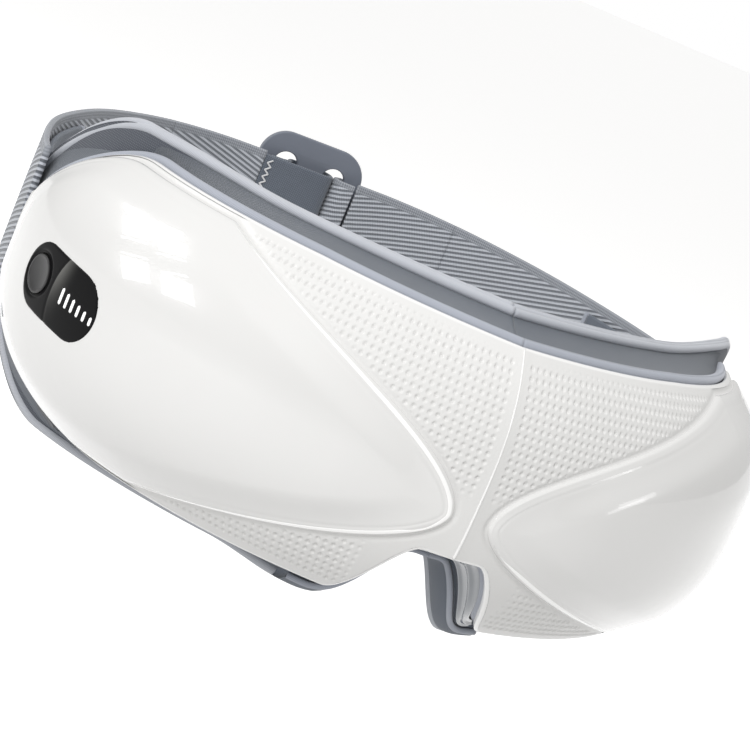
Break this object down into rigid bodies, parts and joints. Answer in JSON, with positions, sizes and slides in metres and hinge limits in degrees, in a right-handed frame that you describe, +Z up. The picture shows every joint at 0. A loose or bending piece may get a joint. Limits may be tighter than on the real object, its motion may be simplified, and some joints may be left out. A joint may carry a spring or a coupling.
{
  "type": "eye massager mask",
  "caption": "Heated eye massager mask: two glossy curved pods on a soft bridge, a side control window with a push button, a padded fabric back and an elastic head strap with a slider buckle.",
  "frame": {"origin": "on the centre line where the middle of the pad meets the face, at the mount named face", "axes": "+X to the viewer's right as the mask is looked at from the front, +Y back towards the head and along the mount's axis, +Z up"},
  "size_m": [0.2066, 0.2462, 0.0849],
  "materials": {
    "lens_white": "high gloss",
    "skin_white": "satin, embossed with small dimples",
    "shell_grey": "moulded",
    "window_black": "high gloss",
    "diffuser_white": "translucent",
    "button_black": "high gloss",
    "spring_steel": "bare",
    "board_green": "solder mask",
    "switch_grey": "moulded",
    "port_steel": "plated",
    "battery_wrap": "shrink wrap",
    "chassis_dark": "moulded",
    "pump_grey": "moulded",
    "valve_brass": "bare",
    "speaker_black": "moulded",
    "motor_steel": "drawn",
    "weight_metal": "sintered",
    "tube_clear": "silicone",
    "cable_orange": "polyimide film",
    "airbag_film": "welded film",
    "heater_film": "polyimide film",
    "liner_fabric": "soft knit",
    "mesh_fabric": "mesh weave",
    "piping_fabric": "covered cord",
    "lip_fabric": "covered cord",
    "strap_elastic": "twill elastic",
    "tab_fabric": "plain weave",
    "thread_white": "sewing thread",
    "buckle_grey": "moulded",
    "screw_steel": "plated"
  },
  "bodies": {
    "bridge": {"bridge_skin": "skin_white", "bridge_web": "shell_grey", "bridge_cable": "cable_orange", "air_tube_bridge": "tube_clear", "bridge_liner": "liner_fabric", "bridge_wall_top": "mesh_fabric", "nose_flap": "mesh_fabric", "bridge_piping_top": "piping_fabric", "bridge_piping_nose": "piping_fabric", "bridge_lip_top": "lip_fabric", "bridge_lip_nose": "lip_fabric", "strap_left": "strap_elastic", "strap_right": "strap_elastic", "strap_tab_left": "tab_fabric", "strap_tab_right": "tab_fabric"},
    "left_pod": {"lens_panel_left": "lens_white", "skin_left": "skin_white", "pod_shell_left": "shell_grey", "chassis_left": "chassis_dark", "speaker_left": "speaker_black", "vibration_motor_left": "motor_steel", "air_tube_left": "tube_clear", "airbag_left": "airbag_film", "heater_film_left": "heater_film", "face_liner_left": "liner_fabric", "side_wall_left": "mesh_fabric", "rim_piping_left": "piping_fabric", "lip_piping_left": "lip_fabric", "screws_left": "screw_steel", "control_window": "window_black", "display_diffuser": "diffuser_white", "button_spring": "spring_steel", "circuit_board": "board_green", "button_switch": "switch_grey", "charging_port": "port_steel", "battery": "battery_wrap"},
    "right_pod": {"lens_panel_right": "lens_white", "skin_right": "skin_white", "pod_shell_right": "shell_grey", "chassis_right": "chassis_dark", "speaker_right": "speaker_black", "vibration_motor_right": "motor_steel", "air_tube_right": "tube_clear", "airbag_right": "airbag_film", "heater_film_right": "heater_film", "face_liner_right": "liner_fabric", "side_wall_right": "mesh_fabric", "rim_piping_right": "piping_fabric", "lip_piping_right": "lip_fabric", "screws_right": "screw_steel", "air_pump": "pump_grey", "solenoid_valve": "valve_brass"},
    "power_button": {"power_button": "button_black"},
    "buckle": {"buckle": "buckle_grey", "strap_loop": "tab_fabric", "strap_tail": "strap_elastic", "strap_stitching": "thread_white"},
    "vibration_weight_left": {"vibration_weight_left": "weight_metal"},
    "vibration_weight_right": {"vibration_weight_right": "weight_metal"}
  },
  "joints": [
    {"name": "right_fold", "type": "hinge", "parent": "bridge", "child": "right_pod", "pos_m": [0, -0.03, 0], "axis": [0, 0, 1], "range_deg": [0, 15], "stiffness_Nm_per_rad": 0.15, "deforming": ["bridge_skin", "bridge_web", "bridge_cable", "air_tube_bridge", "bridge_liner", "bridge_wall_top", "nose_flap", "bridge_piping_top", "bridge_piping_nose", "bridge_lip_top", "bridge_lip_nose", "strap_right", "strap_tab_right"]},
    {"name": "left_fold", "type": "hinge", "parent": "bridge", "child": "left_pod", "pos_m": [0, -0.03, 0], "axis": [0, 0, 1], "range_deg": [-15, 0], "stiffness_Nm_per_rad": 0.15, "deforming": ["bridge_skin", "bridge_web", "bridge_cable", "air_tube_bridge", "bridge_liner", "bridge_wall_top", "nose_flap", "bridge_piping_top", "bridge_piping_nose", "bridge_lip_top", "bridge_lip_nose", "strap_left", "strap_tab_left"]},
    {"name": "power_button_press", "type": "slide", "parent": "left_pod", "child": "power_button", "axis": [0.9315, 0.3636, -0.0068], "range_m": [0, 0.0008], "stiffness_N_per_m": 1500, "springref_m": -0.0002, "deforming": ["button_spring"]},
    {"name": "buckle_slide", "type": "slide", "parent": "bridge", "child": "buckle", "axis": [1, 0, 0], "range_m": [-0.012, 0.012], "deforming": ["strap_left", "strap_right"]},
    {"name": "weight_spin_right", "type": "hinge", "parent": "right_pod", "child": "vibration_weight_right", "pos_m": [0.02804, -0.0146, 0.0104], "axis": [0, 0, 1], "continuous": true},
    {"name": "weight_spin_left", "type": "hinge", "parent": "left_pod", "child": "vibration_weight_left", "pos_m": [-0.02804, -0.0146, 0.0104], "axis": [0, 0, 1], "continuous": true}
  ],
  "couplings": [
    {"joint": "left_fold", "follows": "right_fold", "ratio": -1}
  ]
}
